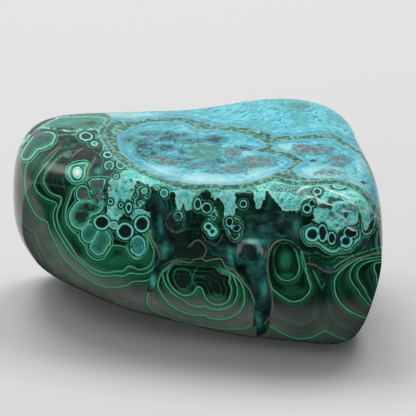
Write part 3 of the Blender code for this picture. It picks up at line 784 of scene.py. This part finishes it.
def markings(points, normals, depth):
    """Every field that the stone's material reads, one value a vertex. Lengths are in picture units."""
    forward, _ = look_direction()
    facing = normals @ -forward
    near = ease(facing / FULLY_SEEN)
    seen = near > 0
    places = picture_places(points[seen])
    count = len(points)

    def spread(front, back):
        """Front values, turned smoothly into those of the far sides where the surface turns away."""
        whole = np.array(back, dtype=float) * np.ones(count)
        whole[seen] = whole[seen] * (1 - near[seen]) + front * near[seen]
        return whole

    growths = [nodule_growth(places, *nodule) for nodule in NODULES.values()]
    phase, spacing, shine = growths[0]
    for other in growths[1:]:
        chosen = other[0] > phase
        phase, spacing, shine = (np.where(chosen, new, old) for new, old in zip(other, (phase, spacing, shine)))
    fields = {}
    far_growth = seeded_growth(points)
    on_front = facing[seen] > GROWTH_JOIN
    for name, front, back in zip(("phase", "spacing", "shine"), (phase, spacing, shine), far_growth):
        whole = back.copy()
        whole[seen] = np.where(on_front, front, whole[seen])
        fields[name] = whole
    quiet = ovals(places, QUIET)
    fields["shine"][seen] *= 1 - 0.92 * quiet
    fields["calm"] = spread(quiet, 0)
    fields["shine"] *= 1 - np.exp(-(((facing - GROWTH_JOIN) / JOIN_WIDTH) ** 2))

    cells = deepest_of([(loop_depth(places, outline, NEAR_LOOP), rim, fill) for rim, fill, outline in CELLS])
    fields["cell"] = spread(np.maximum(cells[0], -8), -8)
    fields["cell_rim"] = spread(cells[1], 1.5)
    fields["cell_fill"] = spread(cells[2], 0)

    eyes = deepest_of([(oval_depth(places, *eye[:4]), *eye[4:]) for eye in EYES])
    far = deepest_of([
        ((eye[3] - np.linalg.norm(points - np.array(eye[:3]), axis=1)) / UNIT_SIZE, eye[4] / UNIT_SIZE, eye[5])
        for eye in FAR_EYES
    ])
    for name, front, back in zip(("eye", "eye_rim", "eye_fill"), eyes, far):
        fields[name] = spread(np.maximum(front, -8), np.maximum(back, -8)) if name == "eye" else spread(front, back)

    masses = np.max([loop_depth(places, outline, NEAR_LOOP) for outline in MASSES], axis=0)
    crown = loop_depth(places, CROWN)
    lower = far_crown(points)
    fields["crown"] = spread(np.clip(crown, -14, 14), np.clip(lower - 12, -14, 14))
    fields["mass"] = spread(np.clip(masses, -10, 10), np.clip(lower, -10, 10))
    crown_cells = np.max([loop_depth(places, outline, None, CROWN_STRETCH) for outline in CROWN_CELLS], axis=0)
    fields["crown_cell"] = spread(np.clip(crown_cells, -8, 20), np.clip(far_cells(points), -8, 20))

    patches = deepest_of([(oval_depth(places, *patch[:4]), patch[4]) for patch in PATCHES])
    far = deepest_of([
        ((patch[3] - np.linalg.norm(points - np.array(patch[:3]), axis=1)) / UNIT_SIZE, patch[4])
        for patch in FAR_PATCHES
    ])
    fields["patch"] = spread(np.maximum(patches[0], -6), np.maximum(far[0], -6))
    fields["patch_kind"] = spread(patches[1], far[1])

    best = np.full(len(places), FAR)
    side, kind, strength = np.ones(len(places)), np.zeros(len(places)), np.zeros(len(places))
    for half_width, line_kind, line_strength, points_along in LINES:
        distance, line_side = to_line(places, curve(points_along, closed=False))
        distance = distance / half_width
        chosen = distance < best
        best = np.where(chosen, distance, best)
        side = np.where(chosen, line_side, side)
        kind = np.where(chosen, line_kind, kind)
        strength = np.where(chosen, line_strength, strength)
    fields["line"] = spread(np.clip(best * side, -6, 6), 6)
    fields["line_strength"] = spread(np.where(best < 4, strength, 0), 0)
    fields["line_kind"] = spread(kind, 0)

    fields["glow"] = spread(ovals(places, GLOWS), 0.1 * (1 + np.sin(points[:, 0] * 0.35 + points[:, 2] * 0.5)))
    fields["froth"] = spread(ovals(places, FROTH), ease(1 - np.abs(lower + 4) / 9) * 0.8)
    velvet = np.max([loop_depth(places, outline, NEAR_LOOP) for outline in VELVET], axis=0)
    fields["velvet"] = spread(np.clip(velvet, -8, 8), -8)
    fields["velvet_light"] = spread(ovals(places, VELVET_LIGHTS), 0.3)
    # Painted sheen: pale cover on the crown where its polish reflects bright light, faint everywhere on the far sides.
    fields["painted_sheen"] = spread(ovals(places, PAINTED_SHEEN), 0.15)
    # Painted reflection of the lit floor: grey over the foot in front, and near the floor all round on the far sides.
    below = places[:, 1] - np.interp(places[:, 0], *REFLECTION_BELOW)
    floor_reflection = np.interp(places[:, 0], *REFLECTION_STRENGTH) * ease(below / 24 + 0.3)
    fields["floor_reflection"] = spread(floor_reflection, 0.6 * ease((9 - points[:, 2]) / 9))
    fields["green_blue"] = ease((-8 - points[:, 0]) / 12) * ease((points[:, 2] - 30) / 5)
    fields["hollow"] = depth
    return fields


# Material


def add_node(tree, kind, settings=None, values=None, links=None):
    """Adds a node: settings are its own properties, values the constants of its sockets, links what feeds them."""
    node = tree.nodes.new(kind)
    for name, value in (settings or {}).items():
        setattr(node, name, value)
    for socket, value in (values or {}).items():
        node.inputs[socket].default_value = value
    for socket, source in (links or {}).items():
        tree.links.new(source, node.inputs[socket])
    return node


def rgba(colour):
    values = linear(colour) if isinstance(colour, str) else tuple(colour)
    return (*values[:3], 1.0)


def figure(tree, operation, *terms, clamp=False):
    """One step of arithmetic on sockets and numbers."""
    values = {place: term for place, term in enumerate(terms) if not hasattr(term, "node")}
    links = {place: term for place, term in enumerate(terms) if hasattr(term, "node")}
    settings = {"operation": operation, "use_clamp": clamp}
    return add_node(tree, "ShaderNodeMath", settings, values, links).outputs[0]


def field(tree, name):
    return add_node(tree, "ShaderNodeAttribute", {"attribute_name": name, "attribute_type": "GEOMETRY"}).outputs["Fac"]


def scaled(tree, value, factor, plus):
    return figure(tree, "MULTIPLY_ADD", value, factor, plus)


def times(tree, one, other, clamp=False):
    return figure(tree, "MULTIPLY", one, other, clamp=clamp)


def grain(tree, size, detail):
    """Noise with features of a size in mm, from 0 to 1."""
    place = add_node(tree, "ShaderNodeTexCoord").outputs["Object"]
    values = {"Scale": 1 / (size * MM), "Detail": detail, "Roughness": 0.55}
    return add_node(tree, "ShaderNodeTexNoise", values=values, links={"Vector": place}).outputs["Fac"]


def bands(tree, place, roughness):
    """Uneven bands along a value, from 0 to 1."""
    values = {"Scale": 1.0, "Detail": 4.0, "Roughness": roughness}
    return add_node(tree, "ShaderNodeTexNoise", {"noise_dimensions": "1D"}, values, {"W": place}).outputs["Fac"]


def bubbles(tree, size):
    """Distance to the nearest middle of small grown bubbles, in their size, which is in mm."""
    place = add_node(tree, "ShaderNodeTexCoord").outputs["Object"]
    values = {"Scale": 1 / (size * MM)}
    return add_node(tree, "ShaderNodeTexVoronoi", {"feature": "F1"}, values, {"Vector": place}).outputs["Distance"]


def along(tree, way, direction):
    settings = {"operation": "DOT_PRODUCT"}
    return add_node(tree, "ShaderNodeVectorMath", settings, {1: direction}, {0: way}).outputs["Value"]


def ramp(tree, value, stops):
    """Colour and cover along a value: stops are (value, colour, cover)."""
    low, high = stops[0][0], stops[-1][0]
    ends = {"From Min": low, "From Max": high}
    share = add_node(tree, "ShaderNodeMapRange", {"clamp": True}, ends, {"Value": value}).outputs[0]
    node = add_node(tree, "ShaderNodeValToRGB", links={"Fac": share})
    points = node.color_ramp.elements
    while len(points) < len(stops):
        points.new(0.5)
    for point, (place, colour, amount) in zip(points, stops):
        point.position = (place - low) / (high - low)
        point.color = (*rgba(colour)[:3], amount)
    return node.outputs["Color"], node.outputs["Alpha"]


def tone(tree, value, stops):
    """Colour along a value: stops are (value, colour)."""
    return ramp(tree, value, [(place, colour, 1) for place, colour in stops])[0]


def cover(tree, value, stops):
    """Cover along a value: stops are (value, cover)."""
    return ramp(tree, value, [(place, "#000000", amount) for place, amount in stops])[1]


def lay_over(tree, under, colour, amount):
    settings = {"data_type": "RGBA", "clamp_factor": True}
    links, values = {6: under}, {}
    for socket, term in ((7, colour), ("Factor", amount)):
        if hasattr(term, "node"):
            links[socket] = term
        else:
            values[socket] = rgba(term) if socket == 7 else term
    return add_node(tree, "ShaderNodeMix", settings, values, links).outputs[2]


def trace(tree, under, colour, value, stops, share=None):
    """Lays a colour over as the stops say along a value, or that much of a share."""
    amount = cover(tree, value, stops)
    return lay_over(tree, under, colour, amount if share is None else times(tree, amount, share))


VELVET_ROUGHNESS = 0.5  # of the vugs' unpolished walls
POLISHED_IOR = 1.6  # refractive index that sets how strongly the polish reflects


def stone_material(settings):
    """Polished malachite with chrysocolla.

    Malachite: grown in shells, so its colour changes only across the shells, from near black green to light green
    lines; cut through and polished, it shines like glass. Chrysocolla: grown cloudy, from sky blue to turquoise, and
    polished flush with it. The vugs' walls are as they grew, velvety and without polish. Painted over all this: a grey
    reflection of the floor at the foot, a pale sheen on the crown, white glints, and shade under the vugs' roofs.
    """
    material = bpy.data.materials.new("polished_malachite_chrysocolla")
    material.use_nodes = True
    tree = material.node_tree
    tree.nodes.clear()

    fine = figure(tree, "SUBTRACT", grain(tree, 0.45, 2), 0.5)
    coarse = figure(tree, "SUBTRACT", grain(tree, 1.4, 4), 0.5)
    clouds = grain(tree, 3.2, 4)

    def uneven(name, by_coarse, by_fine=0.0):
        """A field, made uneven by both noises."""
        value = field(tree, name)
        for noise, share in ((coarse, by_coarse), (fine, by_fine)):
            if share:
                value = scaled(tree, noise, share, value)
        return value

    # Dark malachite with its fine shells, then the painted reflection of the floor: a grey veil at its foot.
    phase = uneven("phase", 0.06)
    shells = bands(tree, times(tree, phase, 3.8), 0.65)
    speckled = scaled(tree, fine, 0.5, scaled(tree, coarse, 0.5, 0.44))
    mixed = {0: field(tree, "calm"), 2: shells, 3: speckled}
    shells = add_node(tree, "ShaderNodeMix", {"clamp_factor": True}, links=mixed).outputs[0]
    colour = tone(
        tree, shells,
        ((0.3, "#070f0d"), (0.45, settings.malachite), (0.55, "#0d3528"), (0.65, "#1b5c44"), (0.74, "#103a2b")),
    )
    colour = lay_over(tree, colour, "#268a60", times(tree, field(tree, "glow"), scaled(tree, shells, 1.3, 0.2)))
    # Painted reflection of the floor: a grey veil over the foot, patchy with the clouds.
    reflected_veil = times(tree, field(tree, "floor_reflection"), scaled(tree, clouds, 0.7, 0.3), clamp=True)
    colour = lay_over(tree, colour, "#9a9a96", times(tree, reflected_veil, 0.76))

    # Light growth lines, each with a green bloom on its outer side and a faint echo.
    beyond = figure(tree, "SUBTRACT", figure(tree, "FRACT", figure(tree, "ADD", phase, 0.5)), 0.5)
    beyond = times(tree, beyond, field(tree, "spacing"))
    shine = times(tree, field(tree, "shine"), scaled(tree, clouds, 1.1, 0.45))
    for shade, stops in (
        ("#1b6647", ((-8, 0), (-3, 0.3), (0, 0.8), (1.4, 0))),
        (settings.growth_line, ((-1.0, 0), (-0.38, 0.8), (0, 1), (0.28, 0.8), (0.7, 0))),
        ("#3b8f69", ((-3.8, 0), (-3.3, 0.32), (-2.9, 0.32), (-2.4, 0))),
    ):
        colour = trace(tree, colour, shade, beyond, stops, shine)

    # Vugs and their surroundings: velvety teal, partly painted shade: darkest away from the paler places, as under the
    # vugs' overhanging roofs.
    pale = scaled(tree, field(tree, "velvet_light"), 0.55, scaled(tree, clouds, 0.9, -0.20))
    pale = scaled(tree, coarse, 0.45, pale)
    velvet_and_shade = tone(
        tree, pale, ((0.08, "#031210"), (0.24, "#0a3f3a"), (0.42, "#16695f"), (0.62, "#2f9a8a"), (0.85, "#74c4b6"))
    )
    in_vug = cover(tree, field(tree, "hollow"), ((0.05, 0), (0.3, 1)))
    in_vug = figure(tree, "MAXIMUM", in_vug, cover(tree, uneven("velvet", 4.0), ((-0.6, 0), (0.8, 1))))
    colour = lay_over(tree, colour, velvet_and_shade, in_vug)

    # Outlined cells: light green thread, dark gap, bright rim, filling.
    cell = uneven("cell", 2.0, 0.9)
    fill = tone(tree, uneven("cell_fill", 0.7), ((0, "#0a1f19"), (0.3, "#46594e"), (0.5, "#338a77"), (1, "#63bd99")))
    fill = trace(tree, fill, "#164c40", cell, ((1.6, 0), (5.5, 0.6)))
    colour = trace(tree, colour, "#0f3326", cell, ((-2.4, 0), (-2.0, 1)), 0.8)
    colour = trace(tree, colour, "#52b890", cell, ((-2.6, 0), (-2.1, 0.8), (-1.7, 0.8), (-1.2, 0)))
    colour = trace(tree, colour, fill, cell, ((-0.3, 0), (0.2, 1)))
    rim_share = figure(tree, "DIVIDE", cell, field(tree, "cell_rim"))
    colour = trace(tree, colour, "#70d2b6", rim_share, ((-0.15, 0), (0.1, 0.9), (0.7, 0.9), (1.3, 0)))

    # Turquoise masses: ragged, speckled, with pale threads and pale edges.
    mass = uneven("mass", 8.0, 3.0)
    turquoise = tone(
        tree, grain(tree, 0.9, 5),
        ((0.32, "#248f88"), (0.43, "#45bebc"), (0.52, settings.chrysocolla), (0.66, "#a2efec")),
    )
    threads = ((0.45, 0), (0.485, 0.8), (0.515, 0.8), (0.55, 0))
    turquoise = trace(tree, turquoise, "#a9e0c6", grain(tree, 1.1, 3), threads)
    turquoise = trace(tree, turquoise, "#1f4f3f", grain(tree, 0.8, 3), ((0.615, 0), (0.655, 0.9)))
    greened = times(tree, field(tree, "green_blue"), scaled(tree, clouds, 0.6, 0.5))
    turquoise = lay_over(tree, turquoise, "#2f6b56", greened)
    colour = trace(tree, colour, "#0c2b22", mass, ((-3.0, 0), (-0.6, 0.75)))
    colour = trace(tree, colour, turquoise, mass, ((-0.3, 0), (0.3, 1)))
    colour = trace(tree, colour, "#93dfce", mass, ((-0.5, 0), (0.2, 0.95), (0.7, 0.85), (1.5, 0)))

    # Froth of tiny rings.
    in_froth = cover(tree, uneven("froth", 0.9), ((0.42, 0), (0.55, 0.95)))
    rings, ring_cover = ramp(
        tree, bubbles(tree, 0.95),
        ((0.1, "#0c211b", 1), (0.26, "#12382c", 1), (0.34, "#7cd2c4", 1), (0.44, "#6cc5b6", 1), (0.52, "#1c5443", 0.9),
         (0.7, "#123628", 0.4)),
    )
    colour = lay_over(tree, colour, rings, times(tree, ring_cover, in_froth))

    # Ring eyes.
    eye = uneven("eye", 2.4, 1.0)
    colour = trace(tree, colour, "#0f3427", eye, ((-1.9, 0), (-1.2, 1)))
    colour = trace(tree, colour, "#439f78", eye, ((-2.7, 0), (-2.3, 0.6), (-1.9, 0.6), (-1.5, 0)))
    core = tone(tree, uneven("eye_fill", 0.3), ((0, "#17251f"), (0.15, "#2f3a33"), (0.5, "#2f8a7c"), (1, "#d5e2d2")))
    colour = trace(tree, colour, core, eye, ((-0.4, 0), (0.1, 1)))
    ring, ring_cover = ramp(
        tree, figure(tree, "DIVIDE", eye, field(tree, "eye_rim")),
        ((-0.25, "#4fb8a4", 0), (0.0, "#5ac8ba", 1), (0.35, "#8fe9e2", 1), (0.7, "#58c9c2", 1), (1.1, "#2c7f62", 0)),
    )
    colour = lay_over(tree, colour, ring, ring_cover)

    # The green speckled belt below the crown.
    crown = uneven("crown", 2.2)
    mottled = tone(
        tree, grain(tree, 0.8, 5),
        ((0.36, "#193f36"), (0.44, "#2d685d"), (0.52, "#478e82"), (0.59, "#689d88"), (0.68, "#7cc6bc")),
    )
    mottled = trace(tree, mottled, "#1c453b", clouds, ((0.36, 0.65), (0.5, 0)))
    colour = trace(tree, colour, mottled, crown, ((-5.2, 0), (-4.6, 1)), 0.9)
    colour = trace(tree, colour, "#7cc9b6", crown, ((-6.0, 0), (-5.4, 0.8), (-5.0, 0.8), (-4.4, 0)))

    # The crown: cloudy sky blue cells with bands along their walls, and mottled green seams between them.
    crown_cell = uneven("crown_cell", 7.0)
    blues = bands(tree, scaled(tree, clouds, 7.0, times(tree, crown_cell, 0.4)), 0.7)
    sky = tone(
        tree, scaled(tree, coarse, 0.5, blues),
        ((0.3, "#2a8197"), (0.42, "#3a99ae"), (0.52, settings.crown), (0.62, "#76c8d3"), (0.74, "#a9dcdc")),
    )
    deep_inside = cover(tree, crown_cell, ((3, 0), (9, 1)))
    sky = trace(tree, sky, "#4fa39a", grain(tree, 4.5, 3), ((0.46, 0), (0.62, 0.6)), deep_inside)
    sky = lay_over(tree, sky, "#3a7a66", times(tree, greened, 0.95))
    # Painted sheen: pale milky colour where the crown's polish reflects the bright back of the room.
    sheen_cover = times(tree, field(tree, "painted_sheen"), scaled(tree, clouds, 1.4, 0.1), clamp=True)
    sky = lay_over(tree, sky, "#c2eaec", sheen_cover)
    for shade, stops, share in (
        ("#3893ab", ((0.4, 0), (1.6, 0.75), (4.5, 0.5), (8, 0)), figure(tree, "SUBTRACT", 1.0, sheen_cover)),
        (mottled, ((-0.2, 0.95), (0.9, 0)), None),
        ("#8f9c86", ((-1.6, 0), (-0.8, 0.5), (-0.4, 0.4), (0.2, 0)), None),
        ("#75cfe0", ((-0.2, 0), (0.4, 0.6), (0.9, 0.4), (1.6, 0)), None),
    ):
        sky = trace(tree, sky, shade, crown_cell, stops, share)
    colour = trace(tree, colour, sky, crown, ((-0.3, 0), (0.4, 1)))
    colour = trace(tree, colour, "#8fb59f", crown, ((-0.9, 0), (-0.4, 0.5), (0.2, 0.5), (0.9, 0)))

    # Patches, drawn lines and the painted white glints.
    patch = uneven("patch", 11.0, 2.0)
    kind = field(tree, "patch_kind")
    stain = tone(tree, kind, ((0, "#12303a"), (0.9, "#625a5c"), (1.9, "#448670"), (2.9, "#1b2a25"), (3, "#1b2a25")))
    on_blue = figure(tree, "LESS_THAN", kind, 1.5)
    colour = trace(tree, colour, "#17606c", patch, ((-2.2, 0), (-0.8, 0.85), (0.2, 0)), on_blue)
    mottle = cover(tree, grain(tree, 1.3, 2), ((0.40, 0.5), (0.52, 1)))
    colour = trace(tree, colour, stain, patch, ((-0.4, 0), (0.5, 0.9)), mottle)
    # Kind 2 of the drawn lines is white: painted glints of light on the polish.
    line_and_glint_colour = tone(tree, field(tree, "line_kind"), ((0, "#4fae88"), (1, "#7f7c6c"), (2, "#f2f5ee")))
    strength = times(tree, field(tree, "line_strength"), scaled(tree, clouds, 0.9, 0.45))
    colour = trace(tree, colour, line_and_glint_colour, uneven("line", 0.0, 1.2), ((-1.3, 0), (-0.5, 1), (0.5, 1), (1.3, 0)), strength)

    rough = scaled(tree, in_vug, VELVET_ROUGHNESS - settings.roughness, settings.roughness)
    bumps = {"Height": times(tree, grain(tree, 0.9, 3), in_vug)}
    normal = add_node(tree, "ShaderNodeBump", values={"Strength": 0.8, "Distance": 0.35 * MM}, links=bumps).outputs[0]
    shader = add_node(
        tree, "ShaderNodeBsdfPrincipled", values={"IOR": POLISHED_IOR},
        links={"Base Color": colour, "Roughness": rough, "Normal": normal},
    )
    add_node(tree, "ShaderNodeOutputMaterial", links={"Surface": shader.outputs[0]})
    return material


class MakeStone(bpy.types.Operator):
    """Makes the polished stone"""

    bl_idname = "stone.make_freeform"
    bl_label = "Make stone"

    def execute(self, context):
        settings = context.scene.stone_settings
        low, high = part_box("stone")
        stone = carve_block(low, high, settings.face_size)
        stone.name = stone.data.name = "freeform"
        depth = settle(stone.data)
        stone.data.shade_smooth()
        for name, values in markings(read_points(stone.data), normals_of(stone.data.vertices), depth).items():
            attribute = stone.data.attributes.new(name, "FLOAT", "POINT")
            attribute.data.foreach_set("value", values.astype(np.float32))
        stone.data.materials.append(stone_material(settings))
        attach(stone, "root")
        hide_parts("stone")
        return {"FINISHED"}


def plain_material(name, colour, roughness):
    material = bpy.data.materials.new(name)
    material.use_nodes = True
    shader = material.node_tree.nodes["Principled BSDF"]
    shader.inputs["Base Color"].default_value = rgba(colour)
    shader.inputs["Roughness"].default_value = roughness
    return material


# The dark card that only reflections see, just above the floor, in m.
CARD_SIZE = 0.84
CARD_PLACE = (0, -0.40, 0.0012)

# The way the world is brightest, and the soft bright place that the rounded end reflects.
BRIGHT_WAY = (0.0, 0.70, 0.71)
WINDOW_WAY = (-0.60, 0.20, 0.775)
WINDOW_STRENGTH = 2.4

LIT_PLACE = (0, 0, 0.02)  # where the lights point, in m
SENSOR_WIDTH = 36  # mm


class MakeStage(bpy.types.Operator):
    """Makes the floor, the light and the camera"""

    bl_idname = "stone.make_stage"
    bl_label = "Make stage"

    def execute(self, context):
        settings = context.scene.stage_settings
        scene = context.scene
        bpy.ops.object.select_all(action="DESELECT")
        bpy.ops.mesh.primitive_plane_add(size=settings.floor_size, location=(0, 0, 0))
        floor = context.object
        floor.name = "floor"
        floor.data.materials.append(plain_material("pale_paper", settings.floor, 0.9))
        bpy.ops.object.select_all(action="DESELECT")
        bpy.ops.mesh.primitive_plane_add(size=CARD_SIZE, location=CARD_PLACE)
        card = context.object
        card.name = "dark_card"
        card.data.materials.append(plain_material("black_velvet", "#0b0b0b", 1.0))
        card.visible_camera = False
        card.visible_shadow = False
        card.visible_diffuse = False

        for name, place, size, power in (
            ("left", (-0.36, 0.62, 1.5), 0.75, 0.52 * settings.key_power),
            ("right", (0.42, 0.62, 1.5), 0.75, 0.48 * settings.key_power),
            ("fill", (-0.66, -0.95, 0.15), 0.9, settings.fill_power),
        ):
            bpy.ops.object.light_add(type="AREA", location=place)
            light = context.object
            light.name = name
            light.data.shape = "DISK"
            light.data.size = size
            light.data.energy = power
            light.rotation_euler = (Vector(LIT_PLACE) - light.location).to_track_quat("-Z", "Y").to_euler()
            light.visible_glossy = False

        world = bpy.data.worlds.new("studio")
        scene.world = world
        world.use_nodes = True
        tree = world.node_tree
        tree.nodes.clear()
        way = add_node(tree, "ShaderNodeTexCoord").outputs["Generated"]
        beside = figure(tree, "ABSOLUTE", add_node(tree, "ShaderNodeSeparateXYZ", links={0: way}).outputs["X"])
        height = scaled(tree, beside, 0.2, along(tree, way, BRIGHT_WAY))
        light = tone(
            tree, height,
            ((-0.5, "#0a0a0a"), (-0.15, "#383838"), (0.05, "#6a6a6a"), (0.35, "#c4c4c4"), (0.8, "#ffffff")),
        )
        window = cover(tree, along(tree, way, WINDOW_WAY), ((0.93, 0), (0.98, 0.7), (1.0, 1)))
        strength = scaled(tree, window, WINDOW_STRENGTH, settings.sky)
        background = add_node(tree, "ShaderNodeBackground", links={"Color": light, "Strength": strength})
        add_node(tree, "ShaderNodeOutputWorld", links={"Surface": background.outputs[0]})

        forward, _ = look_direction()
        bpy.ops.object.camera_add(location=(Vector(AIM) - Vector(forward) * DISTANCE) * MM)
        camera = context.object
        camera.rotation_euler = (math.radians(90 - TILT), 0, 0)
        camera.data.sensor_width = SENSOR_WIDTH
        camera.data.lens = SENSOR_WIDTH * DISTANCE / (PICTURE * UNIT_SIZE)
        camera.data.clip_start = 0.01
        scene.camera = camera
        scene.view_settings.view_transform = "Standard"
        return {"FINISHED"}


class StonePanel(bpy.types.Panel):
    bl_label = "Malachite Chrysocolla Freeform"
    bl_idname = "VIEW3D_PT_stone_freeform"
    bl_space_type = "VIEW_3D"
    bl_region_type = "UI"
    bl_category = "Stone"

    def draw(self, context):
        scene = context.scene
        for settings, operator in ((scene.stone_settings, MakeStone), (scene.stage_settings, MakeStage)):
            column = self.layout.column()
            for name in settings.__annotations__:
                column.prop(settings, name)
            column.operator(operator.bl_idname)


CLASSES = (StoneSettings, StageSettings, MakeStone, MakeStage, StonePanel)


def register():
    for item in CLASSES:
        bpy.utils.register_class(item)
    bpy.types.Scene.stone_settings = bpy.props.PointerProperty(type=StoneSettings)
    bpy.types.Scene.stage_settings = bpy.props.PointerProperty(type=StageSettings)


def unregister():
    del bpy.types.Scene.stage_settings
    del bpy.types.Scene.stone_settings
    for item in reversed(CLASSES):
        bpy.utils.unregister_class(item)


def main():
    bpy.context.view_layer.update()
    register()
    bpy.ops.stone.make_freeform()
    bpy.ops.stone.make_stage()


if __name__ == "__main__":
    main()
